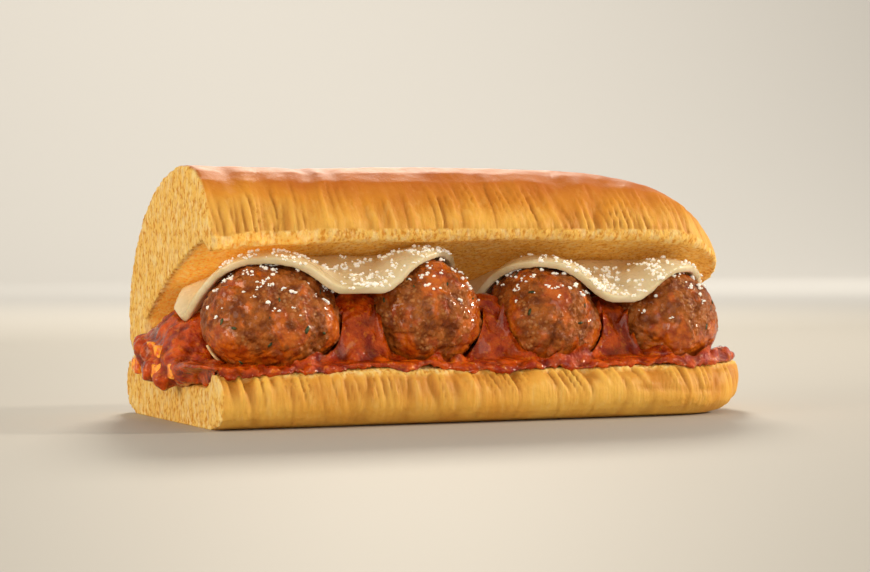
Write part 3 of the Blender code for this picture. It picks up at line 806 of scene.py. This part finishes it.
flecks = bmesh.new()
for ball in meatballs:
    spots = [point for point in ball.data.vertices if abs(point.normal.z) < 0.75]
    for point in draw.sample(spots, flecks_on_ball):
        size = draw.uniform(*fleck_size)
        turn = point.normal.to_track_quat("Z", "Y") @ Quaternion((0, 0, 1), draw.uniform(0, math.pi))
        leaf = bmesh.ops.create_icosphere(flecks, subdivisions=1, radius=size)
        for vert in leaf["verts"]:
            flat = Vector((vert.co.x * 1.3, vert.co.y * draw.uniform(0.35, 0.7), vert.co.z * 0.22))
            vert.co = turn @ flat + point.co
leaves = new_piece("herb_flecks", flecks)
finish(leaves, "herbs", herb)
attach(leaves, "root")

# Tomato. Five soft dice of tomato, with a painted orange glow for the light that comes through them,
# that lie half sunk in the sauce where it bulges out of the knife cut. Each is given by its place
# and size in mm.

dice = (
    ((-81.6, 16.5, 13.6), 2.9),
    ((-81.8, 5, 18.2), 2.5),
    ((-82, -1, 17.6), 2.2),
    ((-82.2, -2.4, 12.6), 3.1),
    ((-81.6, -12, 13.4), 2.5),
)


def tomato(paint):
    flesh = paint.cloud(1.6 * MM, 3).band(0.35, 0.65)
    return {
        "Base Color": flesh.mix((0.74, 0.12, 0.004, 1), (0.95, 0.40, 0.02, 1)),
        # Painted light: the dice glow orange, in place of light coming through them.
        "Emission Color": flesh.mix((0.05, 0.004, 0, 1), (0.28, 0.09, 0.004, 1)),
        "Emission Strength": 1.0,
        "Roughness": 0.18 + 0.1 * (paint.cloud(1 * MM) - 0.5),
        "Normal": (paint.cloud(1.2 * MM, 3) + 0.5 * paint.cells(0.9 * MM)).bump(0.35 * MM),
        "Subsurface Weight": 0.5,
        "Subsurface Radius": (1.0, 0.45, 0.1),
        "Subsurface Scale": 2 * MM,
        "Coat Weight": 0.4,
        "Coat Roughness": 0.08,
    }


shape = bmesh.new()
for place, size in dice:
    lump = bmesh.ops.create_icosphere(shape, subdivisions=4, radius=1)
    for vert in lump["verts"]:
        boxy = sum(abs(part) ** 5 for part in vert.co) ** 0.2
        vert.co = vert.co / boxy * (0.7 * size * MM) * (1 + 0.3 * wander(vert.co, 0.9, size))
        vert.co += Vector(place) * MM + middle
        vert.co.x = max(vert.co.x, cad_box[0][0] + 0.2 * MM)
diced = new_piece("tomato_dice", shape)
finish(diced, "tomato", tomato)
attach(diced, "root")

# Onion. One pale, cooked sliver that clings to the first meatball, low on its left side, half
# under the sauce. It is a flat curved strip, narrower at both ends.

sliver_steps = 14
sliver_sides = 10
sliver_start = math.radians(203)
sliver_sweep = math.radians(34)
sliver_width = 1.3 * MM
sliver_thickness = 0.4 * MM
view_turn = math.radians(24)


def onion(paint):
    fibres = paint.cloud(1.2 * MM, 3, (0.3, 1, 1))
    return {
        "Base Color": fibres.band(0.3, 0.7).mix((0.66, 0.40, 0.16, 1), (0.80, 0.60, 0.32, 1)),
        "Roughness": 0.25 + 0.1 * (paint.cloud(1 * MM) - 0.5),
        "Normal": fibres.bump(0.1 * MM),
        "Subsurface Weight": 0.4,
        "Subsurface Radius": (1.0, 0.6, 0.3),
        "Subsurface Scale": 1 * MM,
    }


shape = bmesh.new()
centre, half = ball_sizes["meatball_1"]
to_right = Vector((math.cos(view_turn), -math.sin(view_turn), 0))
to_front = Vector((-math.sin(view_turn), -math.cos(view_turn), 0))
rows = []
for step in range(sliver_steps + 1):
    share = step / sliver_steps
    turn = sliver_start + sliver_sweep * share
    way = to_right * math.cos(turn) + Vector((0, 0, math.sin(turn)))
    out = (way + to_front * 0.5).normalized()
    spot = Vector(centre) + Vector(out[k] * (half[k] + 0.3 * MM) for k in range(3)) + middle
    width = sliver_width * math.sin(math.pi * (0.08 + 0.84 * share)) ** 0.5
    row = []
    for side in range(sliver_sides):
        angle = math.tau * side / sliver_sides
        flat = out * sliver_thickness * math.sin(angle) + to_front * width * math.cos(angle)
        row.append(shape.verts.new(spot + flat))
    rows.append(row)
for row, following in zip(rows, rows[1:]):
    for k in range(sliver_sides):
        beside = (k + 1) % sliver_sides
        shape.faces.new((row[k], row[beside], following[beside], following[k]))
shape.faces.new(rows[0])
shape.faces.new(rows[-1])
bmesh.ops.recalc_face_normals(shape, faces=shape.faces)
sliver = new_piece("onion_sliver", shape)
finish(sliver, "onion", onion)
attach(sliver, "root")

# Camera. A long lens just above the height of the filling, to the left of the open side, which
# looks nearly level and a little past the middle of the roll.

camera_distance = 636 * MM
camera_height = 45.5 * MM
camera_azimuth = math.radians(24.5)
aim_azimuth = math.radians(24.5 - 0.545)
aim_down = math.radians(1.09)
camera_data = bpy.data.cameras.new("camera")
camera_data.lens = 100
camera_data.sensor_width = 36
camera = bpy.data.objects.new("camera", camera_data)
camera.location = middle + Vector(
    (
        -camera_distance * math.sin(camera_azimuth),
        -camera_distance * math.cos(camera_azimuth),
        camera_height,
    )
)
aim = Vector(
    (
        math.sin(aim_azimuth) * math.cos(aim_down),
        math.cos(aim_azimuth) * math.cos(aim_down),
        -math.sin(aim_down),
    )
)
camera.rotation_euler = aim.to_track_quat("-Z", "Y").to_euler()
bpy.context.scene.collection.objects.link(camera)
bpy.context.scene.camera = camera

# Floor. A plain pale paper sheet that lies flat under the sandwich and sweeps up behind it in a
# wide curve, so that no edge shows.

sheet_width = 8
sheet_front_y = -3
sweep_start_y = 2
sweep_radius = 1.2

shape = bmesh.new()
edge = [shape.verts.new((side * sheet_width / 2, sheet_front_y, 0)) for side in (-1, 1)]
strip = shape.edges.new(edge)
moved = bmesh.ops.extrude_edge_only(shape, edges=[strip])
tip = [item for item in moved["geom"] if isinstance(item, bmesh.types.BMVert)]
bmesh.ops.translate(shape, verts=tip, vec=(0, sweep_start_y - sheet_front_y, 0))
rim = [item for item in moved["geom"] if isinstance(item, bmesh.types.BMEdge)]
bmesh.ops.spin(
    shape,
    geom=rim,
    cent=(0, sweep_start_y, sweep_radius),
    axis=(1, 0, 0),
    angle=math.radians(90),
    steps=24,
    use_merge=False,
)
bmesh.ops.recalc_face_normals(shape, faces=shape.faces)
floor = new_piece("floor", shape)
paper = bpy.data.materials.new("pale paper")
paper.use_nodes = True
paper.node_tree.nodes["Principled BSDF"].inputs["Base Color"].default_value = (0.45, 0.43, 0.395, 1)
paper.node_tree.nodes["Principled BSDF"].inputs["Roughness"].default_value = 0.6
floor.data.materials.append(paper)

# Light. A soft light high behind on the right that edges the crown, one from the right that rakes
# over the wrinkles, a broad one in front, a low warm one on the cut end, and one for the sheet.
# Each has its name, place, aim, size, power and colour.

lights = (
    ("back", (0.34, 0.8, 0.6), (0, 0, 0.05), 0.25, 5.8, (1.0, 0.9, 0.74)),
    ("right", (0.85, -0.24, 0.36), (0, 0, 0.03), 0.09, 6.3, (1.0, 0.88, 0.72)),
    ("front", (-0.3, -1.2, 0.34), (0, 0, 0.03), 0.8, 4.2, (1.0, 0.94, 0.84)),
    ("side", (-0.75, -0.14, 0.2), (0, 0, 0.03), 0.35, 2.5, (1.0, 0.88, 0.7)),
    ("sheet", (1.0, 1.3, 1.5), (0.9, 3.2, 0.5), 1.8, 60, (1.0, 0.96, 0.9)),
)
for name, place, aim, size, power, colour in lights:
    lamp = bpy.data.lights.new(name, "AREA")
    lamp.size = size
    lamp.energy = power
    lamp.color = colour
    holder = bpy.data.objects.new(name, lamp)
    holder.location = place
    holder.rotation_euler = (Vector(aim) - Vector(place)).to_track_quat("-Z", "Y").to_euler()
    bpy.context.scene.collection.objects.link(holder)
world = bpy.data.worlds.new("room")
world.use_nodes = True
world.node_tree.nodes["Background"].inputs["Color"].default_value = (1.0, 0.95, 0.86, 1)
world.node_tree.nodes["Background"].inputs["Strength"].default_value = 0.5
bpy.context.scene.world = world
bpy.context.scene.view_settings.view_transform = "Standard"
